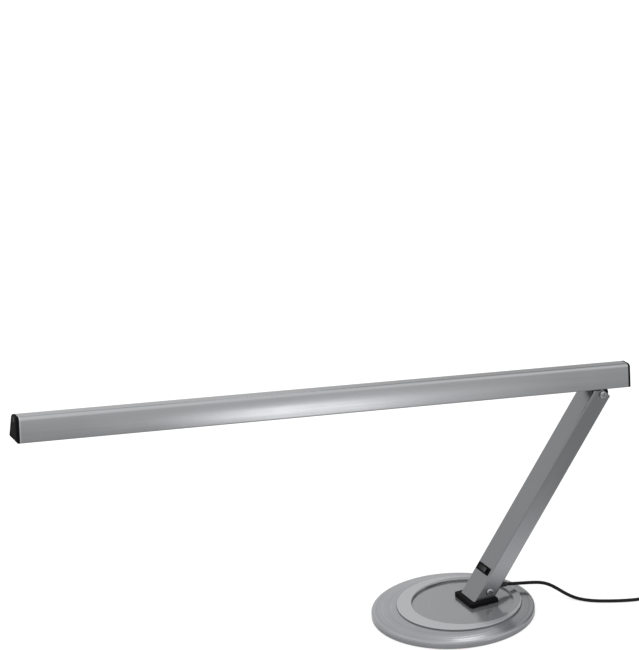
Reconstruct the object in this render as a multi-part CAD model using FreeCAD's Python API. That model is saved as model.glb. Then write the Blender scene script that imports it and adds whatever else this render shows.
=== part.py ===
import FreeCAD, Part
import os
from math import asin, atan2, cos, degrees, pi, radians, sin, sqrt, tan

# Manicure table lamp: a round weighted base, a rectangular arm that leans back
# and a long slim head that tilts on top of the arm.
# Millimetres, +Z up, origin on the table under the middle of the base.
# The head points to -X and the lamp is symmetrical about Y = 0.

os.makedirs("parts", exist_ok=True)
vec = FreeCAD.Vector
along_x = vec(1, 0, 0)
along_y = vec(0, 1, 0)
along_z = vec(0, 0, 1)

# Base
base_dia = 170.0
skirt_height = 7.0
crown_height = 9.6
crown_dia = 100.0
edge_round = 2.0
cover_sheet = 1.2
cover_lift = 0.8
ring_front = 27.4
ring_rear = 12.9
ledge_front = 15.9
ledge_rear = 8.0
ledge_height = 11.0
floor_height = 8.8
dish_sheet = 1.5
dish_edge = 0.5
seam = 0.3
pad_thick = 2.0
pad_inset = 4.0
pad_edge = 0.6

# Foot of the arm, which stands a little behind the middle of its collar
collar_shift = 27.9
collar_length = 32.0
collar_width = 37.6
collar_height = 5.0
collar_round = 1.6
collar_edge = 0.8
arm_set_back = 2.26
spigot_length = 20.0
spigot_play = 0.15
cord_channel = 8.0
channel_depth = 5.0
channel_start = 4.0
foot_bolt_dia = 5.0
foot_bolt_spread = 18.0
foot_bolt_grip = 4.0
foot_bolt_head_dia = 8.5
foot_bolt_head_height = 2.5
foot_screw_dia = 4.0
foot_screw_up = 9.2

# Arm tube, its length taken from the collar to the hinge bolt
arm_lean = 36.9
arm_length = 245.0
arm_width = 29.3
arm_depth = 20.6
arm_wall = 1.6
arm_corner = 2.0

# Head
head_length = 664.3
head_tail = 35.4
head_height = 23.6
head_width = 25.0
side_slope = 12.0
crest_round = 4.2
head_wall = 1.3
lip_reach = 1.8
lip_thick = 1.2
groove_height = 2.1
rib_thick = 1.0
cap_flange = 3.0
cap_plug = 5.0
cap_edge = 0.8
cap_relief_inset = 2.6
cap_relief_width = 0.7
cap_relief_depth = 0.6
cap_screw_dia = 3.0
cap_screw_length = 12.0
cap_screw_head_dia = 4.8
cap_screw_head_height = 1.4
boss_wall = 1.0
boss_sink = 0.3

# Hinge
rest_pitch = 7.0
tilt_range = 41.0
head_drop = 4.8
stop_gap = 0.5
lug_play = 0.4
lug_flange_front = 24.0
hinge_bolt_dia = 4.0
washer_thick = 0.8
washer_play = 0.1
screw_head_dia = 7.6
screw_head_height = 2.6
screw_head_round = 1.5
drive_span = 3.6
drive_width = 0.8
drive_depth = 1.0
nut_across = 7.0
nut_height = 3.2
clamp_thick = 2.5
hinge_screw_dia = 4.0
hinge_screw_head_dia = 7.4
hinge_screw_head_height = 1.6

# Lamp inside the head
reflector_sheet = 0.6
reflector_top = 17.3
holder_length = 14.0
hinge_bay = 40.0
tube_dia = 12.4
glass_wall = 0.8
tube_cap_length = 10.0
tube_cap_wall = 0.3
tube_cap_floor = 1.0
lamp_pin_dia = 2.36
lamp_pin_spacing = 4.75
lamp_pin_length = 7.0
diffuser_play = 0.15

# Rocker switch in the front face of the arm
switch_up = 26.4
switch_length = 23.2
switch_width = 8.2
switch_flange = 1.0
switch_corner = 1.0
switch_deep = 10.0
switch_border = 1.2
switch_wall = 0.7
rocker_pocket = 5.5
rocker_play = 0.9
rocker_rise = 1.7
rocker_dip = 0.7
rocker_skirt = 1.2
rocker_belly = 4.0
rocker_pin_deep = 2.5
rocker_pin_dia = 2.0
rocker_throw = 14.0
terminal_width = 4.8
terminal_thick = 0.8
terminal_length = 5.5
terminal_spread = 9.0

# Control gear inside the arm
ballast_up = 75.0
ballast_length = 120.0
ballast_depth = 12.0
ballast_side_play = 1.5
ballast_edge = 1.0

# Cord, coil, tie and plug
cord_dia = 3.6
bend_share = 0.45
grip_flange_dia = 9.2
grip_flange_thick = 1.6
grip_barrel_dia = 6.8
grip_inside = 1.2
grip_root_dia = 7.2
grip_tip_dia = 5.0
grip_groove_count = 4
grip_groove_width = 1.2
grip_groove_depth = 0.5
coil_mean_dia = 42.0
coil_pitch = 4.1
coil_passes = 4
turns_per_pass = 3
coil_lift = 1.3
climb_turns = 0.5
tie_width = 6.0
tie_thick = 0.8
tie_play = 0.8
tie_turn = 0.4
plug_length = 36.0
plug_width = 26.0
plug_thick = 13.6
plug_tail_length = 14.0
plug_tail_dia = 8.0
plug_round = 3.0
plug_shoulder = 16.0
plug_waist_along = 5.8
plug_waist_width = 12.0
plug_nose_width = 24.0
plug_pin_dia = 4.0
plug_pin_length = 19.0
plug_pin_spacing = 18.6
plug_pin_tip = 1.2
plug_beside_coil = 7.5

# Clearances shared by several pieces
fit = 0.05
near = 0.3
tiny = 1e-6

# The cord's route along the table, from the strain relief to the coil
cord_route = [
    vec(63.6, 0.0, 17.1),
    vec(80.0, 0.0, 13.9),
    vec(91.6, -2.9, 13.0),
    vec(101.0, -7.6, 12.6),
    vec(107.2, -13.4, 11.2),
    vec(112.1, -20.6, 8.4),
    vec(116.8, -29.8, 5.0),
    vec(122.3, -39.8, 2.5),
    vec(129.4, -49.2, 1.8),
    vec(138.7, -57.9, 1.8),
    vec(154.2, -67.4, 1.8),
    vec(166.7, -73.5, 1.8),
    vec(179.4, -78.0, 1.8),
    vec(204.0, -81.9, 3.1),
    vec(226.0, -82.2, 3.1),
]


# Places worked out from the sizes above
disc_radius = (base_dia - ring_front - ring_rear) / 2
disc_shift = (ring_front - ring_rear) / 2
recess_radius = disc_radius - (ledge_front + ledge_rear) / 2
recess_shift = disc_shift + (ledge_front - ledge_rear) / 2
dish_bottom = floor_height - dish_sheet
collar_top = floor_height + collar_height
arm_base = vec(collar_shift + arm_set_back, 0, collar_top)
arm_up = vec(sin(radians(arm_lean)), 0, cos(radians(arm_lean)))
arm_rear = vec(cos(radians(arm_lean)), 0, -sin(radians(arm_lean)))
pivot = arm_base + arm_up * arm_length
inner_width = arm_width - 2 * arm_wall
inner_depth = arm_depth - 2 * arm_wall
ear_radius = head_drop - stop_gap
head_front = head_tail - head_length
profile_front = head_front + cap_flange
profile_rear = head_tail - cap_flange
groove_low = lip_thick
groove_high = groove_low + groove_height
rib_top = groove_high + rib_thick
slope_sin = sin(radians(side_slope))
slope_cos = cos(radians(side_slope))
slope_tan = tan(radians(side_slope))
crest_up = head_height - crest_round
crest_half = head_width / 2 - crest_up * slope_tan - crest_round / slope_cos
boss_radius = cap_screw_dia / 2 + boss_wall
boss_up = head_height - head_wall - boss_radius + boss_sink
cord_radius = cord_dia / 2


def save(shape, node):
    shape.exportStep(f"parts/{node}.step")


def unit(vector):
    return vec(vector).normalize()


def opposite(point):
    return vec(point.x, -point.y, point.z)


def box(low, high):
    size = high - low
    return Part.makeBox(size.x, size.y, size.z, low)


def to_arm(shape):
    placed = shape.copy()
    placed.rotate(vec(), along_y, arm_lean)
    placed.translate(arm_base)
    return placed


def to_head(shape):
    placed = shape.copy()
    placed.rotate(vec(), along_y, rest_pitch)
    placed.translate(pivot)
    return placed


def pin_across(radius, low, high, x, z):
    return Part.makeCylinder(radius, high - low, vec(x, low, z), along_y)


def hexagon_nut(across, height, bore, place):
    corner = across / sqrt(3)
    points = [vec(corner * cos(k * pi / 3), 0, corner * sin(k * pi / 3)) for k in range(7)]
    nut = Part.Face(Part.makePolygon(points)).extrude(vec(0, height, 0))
    nut = nut.cut(pin_across(bore, 0, height, 0, 0))
    nut.translate(place)
    return nut


def cross_slot():
    # Two crossed bars on the origin, sunk along +Y, for the drive in a screw head.
    long = drive_span / 2
    short = drive_width / 2
    level = box(vec(-long, 0, -short), vec(long, drive_depth, short))
    return level.fuse(box(vec(-short, 0, -long), vec(short, drive_depth, long)))


def pan_head_screw(shank_dia, shank_length):
    # The head lies below y = 0 and the shank runs along +Y.
    head = pin_across(screw_head_dia / 2, -screw_head_height, 0, 0, 0)
    rim = [e for e in head.Edges if e.BoundBox.YMax < -screw_head_height / 2]
    slot = cross_slot()
    slot.translate(vec(0, -screw_head_height, 0))
    head = head.makeFillet(screw_head_round, rim).cut(slot)
    return head.fuse(pin_across(shank_dia / 2, 0, shank_length, 0, 0)).removeSplitter()


# Base: domed ring, off-centre disc with a recess, weight and pad


def dome(inset, low):
    # Solid of revolution under the domed outline, drawn in by inset.
    radius = base_dia / 2 - inset
    rim = vec(radius, 0, skirt_height - inset)
    crown = vec(crown_dia / 2, 0, crown_height - inset)
    rise = crown.z - rim.z
    run = rim.x - crown.x
    dome_radius = (run ** 2 + rise ** 2) / (2 * rise)
    half_turn = asin(run / dome_radius) / 2
    middle = crown + vec(sin(half_turn), 0, cos(half_turn) - 1) * dome_radius
    arc = Part.Arc(rim, middle, crown).toShape()
    outline = Part.makePolygon([crown, vec(0, 0, crown.z), vec(0, 0, low), vec(radius, 0, low), rim])
    solid = Part.Face(Part.Wire([arc] + outline.Edges)).revolve(vec(), along_z, 360)
    edges = [e for e in solid.Edges if abs(e.BoundBox.ZMin - rim.z) < tiny and e.BoundBox.ZLength < tiny]
    return solid.makeFillet(edge_round - inset, edges)


def round_plate(radius, shift, low):
    return Part.makeCylinder(radius, ledge_height - low, vec(shift, 0, low))


def base_cover():
    shell = dome(0, cover_lift).cut(dome(cover_sheet, 0))
    return shell.cut(round_plate(disc_radius + seam, disc_shift, pad_thick))


def base_dish():
    # Raised disc with a round recess: both are off centre, so the ledge between them is a crescent.
    dish = round_plate(disc_radius, disc_shift, dish_bottom)
    dish = dish.cut(round_plate(recess_radius, recess_shift, floor_height))
    dish = dish.makeFillet(dish_edge, [e for e in dish.Edges if e.BoundBox.ZMin > ledge_height - tiny])
    for place in foot_bolt_places():
        dish = dish.cut(Part.makeCylinder(foot_bolt_dia / 2 + fit, ledge_height, place))
    return dish


def foot_bolt_places():
    return [vec(collar_shift + side * foot_bolt_spread / 2, 0, pad_thick) for side in (-1, 1)]


def base_weight():
    weight = dome(cover_sheet + near, pad_thick)
    weight = weight.cut(round_plate(disc_radius + seam, disc_shift, dish_bottom))
    for place in foot_bolt_places():
        weight = weight.cut(Part.makeCylinder(foot_bolt_dia / 2 + fit, ledge_height, place))
        weight = weight.cut(Part.makeCylinder(foot_bolt_head_dia / 2 + near, foot_bolt_head_height, place))
    return weight


def base_pad():
    pad = Part.makeCylinder(base_dia / 2 - pad_inset, pad_thick)
    rim = [edge for edge in pad.Edges if edge.BoundBox.ZMax < pad_thick / 2]
    return pad.makeChamfer(pad_edge, rim)


def foot_bolts():
    bolts = []
    for place in foot_bolt_places():
        head = Part.makeCylinder(foot_bolt_head_dia / 2, foot_bolt_head_height, place)
        length = floor_height + foot_bolt_grip - pad_thick
        bolts.append(head.fuse(Part.makeCylinder(foot_bolt_dia / 2, length, place)).removeSplitter())
    return Part.makeCompound(bolts)


# Foot block and arm tube


def arm_bar(inset, low, high):
    # Bar with the arm's outline drawn in by inset, along the arm's own Z.
    depth = arm_depth - 2 * inset
    width = arm_width - 2 * inset
    bar = box(vec(-depth / 2, -width / 2, low), vec(depth / 2, width / 2, high))
    return bar.makeFillet(arm_corner - inset, [e for e in bar.Edges if e.BoundBox.ZLength > tiny])


def under_collar_top():
    reach = collar_length + collar_width
    return box(vec(collar_shift - reach, -reach, -reach), vec(collar_shift + reach, reach, collar_top))


def foot_block():
    front = collar_shift - collar_length / 2
    rear = collar_shift + collar_length / 2
    collar = box(vec(front, -collar_width / 2, floor_height), vec(rear, collar_width / 2, collar_top))
    collar = collar.makeFillet(collar_round, [e for e in collar.Edges if e.BoundBox.ZLength > tiny])
    top_rim = [e for e in collar.Edges if e.BoundBox.ZMin > collar_top - tiny]
    collar = collar.makeChamfer(collar_edge, top_rim)
    spigot = arm_bar(arm_wall + spigot_play, -arm_depth, spigot_length)
    spigot = spigot.cut(box(vec(inner_depth / 2 - channel_depth, -cord_channel / 2, channel_start),
                            vec(arm_depth, cord_channel / 2, arm_length)))
    spigot = to_arm(spigot).cut(under_collar_top())
    block = collar.fuse(spigot).removeSplitter()
    block = block.cut(to_arm(pin_across(foot_screw_dia / 2 + fit, -arm_width, arm_width, 0, foot_screw_up)))
    for place in foot_bolt_places():
        grip = floor_height + foot_bolt_grip + near - pad_thick
        block = block.cut(Part.makeCylinder(foot_bolt_dia / 2 + fit, grip, place))
    return block


def tilt_room():
    # What the underside of the head sweeps over the top of the arm, from rest to the upper stop.
    far = 3 * arm_depth
    swing = radians(tilt_range)
    rest_end = vec(0, 0, ear_radius)
    halfway = vec(sin(swing / 2), 0, cos(swing / 2)) * ear_radius
    raised_end = vec(sin(swing), 0, cos(swing)) * ear_radius
    raised_rear = raised_end + vec(cos(swing), 0, -sin(swing)) * far
    rest_front = vec(-far, 0, ear_radius)
    ear = Part.Arc(rest_end, halfway, raised_end).toShape()
    outline = [raised_end, raised_rear, vec(raised_rear.x, 0, far), vec(-far, 0, far), rest_front, rest_end]
    face = Part.Face(Part.Wire([ear] + Part.makePolygon(outline).Edges))
    room = face.extrude(vec(0, 2 * arm_width, 0))
    room.translate(vec(0, -arm_width, 0))
    return to_head(room)


def cord_exit():
    # Point where the line of the cord's first run meets the rear face of the arm.
    run = unit(cord_route[1] - cord_route[0])
    face = arm_base + arm_rear * (arm_depth / 2)
    distance = (face - cord_route[0]).dot(arm_rear) / run.dot(arm_rear)
    return cord_route[0] + run * distance


def switch_opening(grow):
    half_length = switch_length / 2 - switch_border + grow
    half_width = switch_width / 2 - switch_wall + grow
    return half_length, half_width


def arm_tube():
    tube = arm_bar(0, -arm_depth, arm_length + arm_depth)
    tube = tube.cut(arm_bar(arm_wall, -arm_depth, arm_length + arm_depth))
    tube = tube.cut(pin_across(hinge_bolt_dia / 2 + fit, -arm_width, arm_width, 0, arm_length))
    tube = tube.cut(pin_across(foot_screw_dia / 2 + fit, -arm_width, arm_width, 0, foot_screw_up))
    half_length, half_width = switch_opening(near)
    tube = tube.cut(box(vec(-arm_depth, -half_length, switch_up - half_width),
                        vec(0, half_length, switch_up + half_width)))
    tube = to_arm(tube).cut(under_collar_top()).cut(tilt_room())
    hole_start = cord_exit() - arm_rear * (2 * arm_wall)
    return tube.cut(Part.makeCylinder(grip_barrel_dia / 2 + fit, 4 * arm_wall, hole_start, arm_rear))


def cross_screw(shank_dia, up):
    screw = pan_head_screw(shank_dia, arm_width + nut_height)
    screw.translate(vec(0, -arm_width / 2, up))
    return to_arm(screw)


def cross_nut(shank_dia, up):
    return to_arm(hexagon_nut(nut_across, nut_height, shank_dia / 2 + fit, vec(0, arm_width / 2, up)))


def friction_washers():
    washers = []
    for side in (-1, 1):
        low = min(side * inner_width / 2, side * (inner_width / 2 - washer_thick))
        ring = pin_across(ear_radius, low, low + washer_thick, 0, arm_length)
        ring = ring.cut(pin_across(hinge_bolt_dia / 2 + fit, low, low + washer_thick, 0, arm_length))
        washers.append(to_arm(ring))
    return Part.makeCompound(washers)


def ballast():
    # Control gear in its sleeve, against the front wall inside the arm.
    half = inner_width / 2 - ballast_side_play
    front = near - inner_depth / 2
    gear = box(vec(front, -half, ballast_up), vec(front + ballast_depth, half, ballast_up + ballast_length))
    return to_arm(gear.makeChamfer(ballast_edge, gear.Edges))


# Rocker switch


def switch_housing():
    front = -arm_depth / 2
    flange = box(vec(front - switch_flange, -switch_length / 2, switch_up - switch_width / 2),
                 vec(front, switch_length / 2, switch_up + switch_width / 2))
    flange = flange.makeFillet(switch_corner, [e for e in flange.Edges if e.BoundBox.XLength > tiny])
    half_length, half_width = switch_opening(0)
    body = box(vec(front, -half_length, switch_up - half_width),
               vec(front + switch_deep, half_length, switch_up + half_width))
    pocket_length, pocket_width = switch_opening(-switch_wall)
    pocket = box(vec(front - 2 * switch_flange, -pocket_length, switch_up - pocket_width),
                 vec(front + rocker_pocket, pocket_length, switch_up + pocket_width))
    pin_hole = Part.makeCylinder(rocker_pin_dia / 2 + fit, 2 * half_width,
                                 vec(front + rocker_pin_deep, 0, switch_up - half_width))
    return to_arm(flange.fuse(body).removeSplitter().cut(pocket).cut(pin_hole))


def switch_rocker():
    # Paddle with a shallow V across its face, on two short pins, at rest pressed on one side.
    front = -arm_depth / 2
    pocket_length, pocket_width = switch_opening(-switch_wall)
    half = pocket_length - rocker_play
    half_width = pocket_width - near
    left_top = vec(front - rocker_rise, -half, 0)
    left_foot = vec(front + rocker_skirt, -half, 0)
    belly = vec(front + rocker_belly, 0, 0)
    right_foot = vec(front + rocker_skirt, half, 0)
    right_top = vec(front - rocker_rise, half, 0)
    middle = vec(front - rocker_dip, 0, 0)
    face_arc = Part.Arc(right_top, middle, left_top).toShape()
    belly_arc = Part.Arc(left_foot, belly, right_foot).toShape()
    sides = [Part.makeLine(left_top, left_foot), Part.makeLine(right_foot, right_top)]
    wire = Part.Wire(Part.__sortEdges__([face_arc, belly_arc] + sides))
    paddle = Part.Face(wire).extrude(vec(0, 0, 2 * half_width))
    paddle.translate(vec(0, 0, switch_up - half_width))
    body_half = switch_opening(0)[1]
    pin = Part.makeCylinder(rocker_pin_dia / 2, 2 * body_half,
                            vec(front + rocker_pin_deep, 0, switch_up - body_half))
    rocker = paddle.fuse(pin).removeSplitter()
    rocker.rotate(vec(front + rocker_pin_deep, 0, switch_up), along_z, -rocker_throw / 2)
    return to_arm(rocker)


def switch_terminals():
    back = switch_deep - arm_depth / 2
    blades = []
    for side in (-1, 1):
        middle = side * terminal_spread / 2
        blade = box(vec(back, middle - terminal_thick / 2, switch_up - terminal_width / 2),
                    vec(back + terminal_length, middle + terminal_thick / 2, switch_up + terminal_width / 2))
        blades.append(to_arm(blade))
    return Part.makeCompound(blades)


# Head: extruded body, end caps and hinge


def side_half(up, inset):
    return head_width / 2 - up * slope_tan - inset / slope_cos


def head_bar(inset, low, front, rear):
    # Bar along the head with the extrusion's outline drawn in by inset.
    # The outline has leaning sides, round shoulders and a flat crest.
    radius = crest_round - inset
    halfway = radians(90 + side_slope) / 2
    foot = vec(front, side_half(low, inset), low)
    shoulder = vec(front, crest_half + radius * slope_cos, crest_up + radius * slope_sin)
    bend = vec(front, crest_half + radius * cos(halfway), crest_up + radius * sin(halfway))
    crest = vec(front, crest_half, crest_up + radius)
    right = [Part.makeLine(foot, shoulder), Part.Arc(shoulder, bend, crest).toShape()]
    left = [edge.mirror(vec(), along_y) for edge in right]
    middle = [Part.makeLine(crest, opposite(crest)), Part.makeLine(foot, opposite(foot))]
    outline = Part.Wire(Part.__sortEdges__(right + left + middle))
    bar = Part.Face(outline).extrude(vec(rear - front, 0, 0))
    bar.translate(vec(0, 0, head_drop))
    return bar


def head_layer(low, high, front, rear):
    # Full-width slice between two heights above the underside, for cutting bars to height.
    return box(vec(front, -head_width, head_drop + low), vec(rear, head_width, head_drop + high))


def lip_gap():
    return side_half(0, head_wall) - lip_reach


def head_rod(radius, front, rear, up):
    return Part.makeCylinder(radius, rear - front, vec(front, 0, head_drop + up), along_x)


def boss_bore(front, rear):
    return head_rod(cap_screw_dia / 2 + fit, front, rear, boss_up)


def head_profile():
    front = profile_front
    rear = profile_rear
    cavity = head_bar(head_wall, rib_top, front, rear)
    boss = head_rod(boss_radius, front, rear, boss_up)
    groove = head_bar(head_wall, groove_low, front, rear)
    groove = groove.common(head_layer(groove_low, groove_high, front, rear))
    mouth = box(vec(front, -lip_gap(), 0), vec(rear, lip_gap(), head_drop + rib_top))
    profile = head_bar(0, 0, front, rear).cut(cavity.cut(boss)).cut(groove).cut(mouth)
    return to_head(profile.cut(boss_bore(front, rear)))


def end_cap():
    # Cap for the front end: bevelled plate with an engraved line, and a plug inside the extrusion.
    flange = head_bar(0, 0, head_front, profile_front)
    outer = [e for e in flange.Edges if e.BoundBox.XMax < head_front + cap_flange / 2]
    flange = flange.makeChamfer(cap_edge, outer)
    line_back = head_front + cap_relief_depth
    ring = head_bar(cap_relief_inset, cap_relief_inset, head_front, line_back)
    inside = cap_relief_inset + cap_relief_width
    ring = ring.cut(head_bar(inside, inside, head_front, line_back))
    plug_rear = profile_front + cap_plug
    plug = head_bar(head_wall + near, rib_top, profile_front, plug_rear)
    plug = plug.common(head_layer(rib_top, boss_up - boss_radius - near, profile_front, plug_rear))
    cap = flange.fuse(plug).removeSplitter().cut(ring)
    sink = head_rod(cap_screw_head_dia / 2 + fit, head_front, head_front + cap_screw_head_height, boss_up)
    return cap.cut(boss_bore(head_front, plug_rear)).cut(sink)


def end_cap_screw():
    head = head_rod(cap_screw_head_dia / 2, head_front, head_front + cap_screw_head_height, boss_up)
    shank = head_rod(cap_screw_dia / 2, head_front, head_front + cap_screw_length, boss_up)
    slot = cross_slot()
    slot.rotate(vec(), along_z, -90)
    slot.translate(vec(head_front, 0, head_drop + boss_up))
    return head.fuse(shank).removeSplitter().cut(slot)


def at_tail(shape):
    # The same piece turned round to the rear end of the head.
    middle = (head_front + head_tail) / 2
    return shape.mirror(vec(middle, 0, 0), along_x)


def hinge_screw_places():
    front = -lug_flange_front + hinge_screw_head_dia
    rear = profile_rear - cap_plug - hinge_screw_head_dia
    return [vec(x, 0, head_drop + near) for x in (front, rear)]


def hinge_lug():
    # Knuckle inside the top of the arm, with a neck up to a flange in the extrusion's grooves.
    lug_radius = inner_depth / 2 - lug_play
    lug_half = inner_width / 2 - washer_thick - washer_play
    neck_half = sqrt(lug_radius ** 2 - ear_radius ** 2) - near / 2
    mouth_half = lip_gap() - near
    knuckle = pin_across(lug_radius, -lug_half, lug_half, 0, 0)
    above = box(vec(-arm_depth, -arm_width, head_drop - near), vec(arm_depth, arm_width, arm_depth))
    knuckle = knuckle.cut(above)
    flange_low = groove_low + diffuser_play
    flange_high = groove_high - diffuser_play
    neck = box(vec(-neck_half, -mouth_half, 0), vec(neck_half, mouth_half, head_drop + flange_high))
    front = -lug_flange_front
    rear = profile_rear - near
    flange = head_bar(head_wall + near, flange_low, front, rear)
    flange = flange.common(head_layer(flange_low, flange_high, front, rear))
    plate = box(vec(front, -mouth_half, head_drop + near), vec(rear, mouth_half, head_drop + flange_high))
    lug = knuckle.fuse([neck, flange, plate]).removeSplitter()
    lug = lug.cut(pin_across(hinge_bolt_dia / 2 + fit, -arm_width, arm_width, 0, 0))
    for place in hinge_screw_places():
        lug = lug.cut(Part.makeCylinder(hinge_screw_dia / 2 + fit, head_height, place))
        lug = lug.cut(Part.makeCylinder(hinge_screw_head_dia / 2 + fit, hinge_screw_head_height, place))
    return to_head(lug)


def hinge_clamp():
    # Plate on top of the ribs: its screws pull the lug's flange up against their undersides.
    front = -lug_flange_front
    rear = profile_rear - cap_plug - near
    clamp = head_bar(head_wall + near, rib_top, front, rear)
    clamp = clamp.common(head_layer(rib_top, rib_top + clamp_thick, front, rear))
    for place in hinge_screw_places():
        clamp = clamp.cut(Part.makeCylinder(hinge_screw_dia / 2 + fit, head_height, place))
    return to_head(clamp)


def hinge_screws():
    screws = []
    length = rib_top + clamp_thick - near
    for place in hinge_screw_places():
        head = Part.makeCylinder(hinge_screw_head_dia / 2, hinge_screw_head_height, place)
        shank = Part.makeCylinder(hinge_screw_dia / 2, length, place)
        slot = cross_slot()
        slot.rotate(vec(), along_x, 90)
        slot.translate(place)
        screws.append(to_head(head.fuse(shank).removeSplitter().cut(slot)))
    return Part.makeCompound(screws)


# Lamp inside the head

holder_front = profile_front + cap_plug + near
holder_rear = -hinge_bay
tube_front = holder_front + holder_length + near
tube_rear = holder_rear - holder_length - near
reflector_inside = reflector_top - reflector_sheet
tube_up = (reflector_inside + groove_high) / 2


def reflector():
    outer_inset = head_wall + near
    inner_inset = outer_inset + reflector_sheet
    tray = head_bar(outer_inset, rib_top, holder_front, holder_rear)
    tray = tray.common(head_layer(rib_top, reflector_top, holder_front, holder_rear))
    hollow = head_bar(inner_inset, rib_top, holder_front, holder_rear)
    hollow = hollow.common(head_layer(rib_top, reflector_inside, holder_front, holder_rear))
    return to_head(tray.cut(hollow))


def lamp_pin_places():
    return [vec(0, side * lamp_pin_spacing / 2, head_drop + tube_up) for side in (-1, 1)]


def lamp_holder(front):
    rear = front + holder_length
    inset = head_wall + reflector_sheet + 2 * near
    block = head_bar(inset, rib_top, front, rear).common(head_layer(rib_top, reflector_inside, front, rear))
    for place in lamp_pin_places():
        start = place + along_x * front
        block = block.cut(Part.makeCylinder(lamp_pin_dia / 2 + fit, holder_length, start, along_x))
    return to_head(block)


def tube_end(front, rear, radius):
    return head_rod(radius, front, rear, tube_up)


def tube_glass():
    radius = tube_dia / 2
    front = tube_front + tube_cap_floor
    rear = tube_rear - tube_cap_floor
    return to_head(tube_end(front, rear, radius).cut(tube_end(front, rear, radius - glass_wall)))


def tube_end_caps():
    outer = tube_dia / 2 + fit + tube_cap_wall
    bore = tube_dia / 2 + fit
    front = tube_end(tube_front, tube_front + tube_cap_length, outer)
    front = front.cut(tube_end(tube_front + tube_cap_floor, tube_front + tube_cap_length, bore))
    rear = tube_end(tube_rear - tube_cap_length, tube_rear, outer)
    rear = rear.cut(tube_end(tube_rear - tube_cap_length, tube_rear - tube_cap_floor, bore))
    return Part.makeCompound([to_head(front), to_head(rear)])


def tube_pins():
    pins = []
    for place in lamp_pin_places():
        for start in (tube_front - lamp_pin_length, tube_rear):
            pin = Part.makeCylinder(lamp_pin_dia / 2, lamp_pin_length, place + along_x * start, along_x)
            pins.append(to_head(pin))
    return Part.makeCompound(pins)


def diffuser():
    low = groove_low + diffuser_play
    high = groove_high - diffuser_play
    rear = -lug_flange_front - near
    strip = head_bar(head_wall + near, low, profile_front + near, rear)
    return to_head(strip.common(head_layer(low, high, profile_front + near, rear)))


# Cord, coil, tie and plug


def arc_between(start, direction, end):
    # Arc from start, leaving along direction, to end. A straight line where they are in line.
    chord = end - start
    along = unit(chord)
    lean = direction.dot(along)
    side = direction - along * lean
    if side.Length < tiny:
        return Part.makeLine(start, end)
    rise = chord.Length / 2 * side.Length / (1 + lean)
    return Part.Arc(start, start + chord * 0.5 + unit(side) * rise, end).toShape()


def biarc(start, start_way, end, end_way):
    span = end - start
    ways = start_way + end_way
    spread = 2 * (1 - start_way.dot(end_way))
    forward = span.dot(ways)
    reach = span.Length ** 2 / (2 * forward)
    if spread > tiny:
        reach = (sqrt(forward ** 2 + spread * span.Length ** 2) - forward) / spread
    joint = (start + start_way * reach + end - end_way * reach) * 0.5
    second = arc_between(end, end_way * -1, joint)
    return [arc_between(start, start_way, joint), second]


def sweep(edges, start, way):
    section = Part.Wire(Part.makeCircle(cord_radius, start, way))
    path = Part.Wire(Part.__sortEdges__(edges))
    return path.makePipeShell([section], True, False), path.Length


def power_cord():
    # Straight runs joined by arcs as large as the runs allow.
    edges = []
    radii = []
    last = cord_route[0]
    for before, point, after in zip(cord_route, cord_route[1:], cord_route[2:]):
        back = unit(before - point)
        onward = unit(after - point)
        half_turn = (pi - back.getAngle(onward)) / 2
        trim = bend_share * min((before - point).Length, (after - point).Length)
        radius = trim / tan(half_turn)
        radii.append(round(radius))
        middle = point + unit(back + onward) * (radius / cos(half_turn) - radius)
        edges.append(Part.makeLine(last, point + back * trim))
        edges.append(Part.Arc(point + back * trim, middle, point + onward * trim).toShape())
        last = point + onward * trim
    edges.append(Part.makeLine(last, cord_route[-1]))
    tube, length = sweep(edges, cord_route[0], cord_route[1] - cord_route[0])
    print("cord bend radii", radii, "least in diameters", round(min(radii) / cord_dia, 1))
    print("cord length", round(length, 1), "volume ratio", tube.Volume / (pi * cord_radius ** 2 * length))
    return tube


coil_way = unit(vec(cord_route[-1].x - cord_route[-2].x, cord_route[-1].y - cord_route[-2].y, 0))
coil_side = vec(-coil_way.y, coil_way.x, 0)
coil_outer = coil_mean_dia / 2 + turns_per_pass * coil_pitch / 2
coil_start = cord_route[-1] + coil_way * cord_dia
coil_centre = vec(coil_start.x, coil_start.y, 0) + coil_side * coil_outer
coil_turns = coil_passes * turns_per_pass
coil_floor = coil_lift + cord_radius
stops_per_turn = 4


def coil_place(turn):
    # Radius and height after so many turns. The spiral goes in and out again, and each climb
    # to the next layer takes the short stretch around a reversal.
    into = turn % (2 * turns_per_pass)
    inwards = min(into, 2 * turns_per_pass - into)
    radius = coil_outer - inwards * coil_pitch
    layer = 0
    for k in range(1, coil_passes):
        climb_start = k * turns_per_pass - climb_turns / 2
        layer += min(max((turn - climb_start) / climb_turns, 0), 1)
    return radius, coil_floor + layer * coil_pitch


def coil_point(turn):
    radius, height = coil_place(turn)
    angle = 2 * pi * turn
    spoke = coil_side * -cos(angle) + coil_way * sin(angle)
    return coil_centre + spoke * radius + vec(0, 0, height)


def ring_way(turn):
    angle = 2 * pi * turn
    return coil_way * cos(angle) + coil_side * sin(angle)


# The plug lies beside the coil, a quarter turn on, at the height of a plug flat on the table
plug_way = ring_way(coil_turns + 1 / 4)
plug_place = coil_centre + coil_way * (coil_outer + cord_radius + plug_beside_coil)
plug_start = vec(plug_place.x, plug_place.y, plug_thick / 2)


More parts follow.
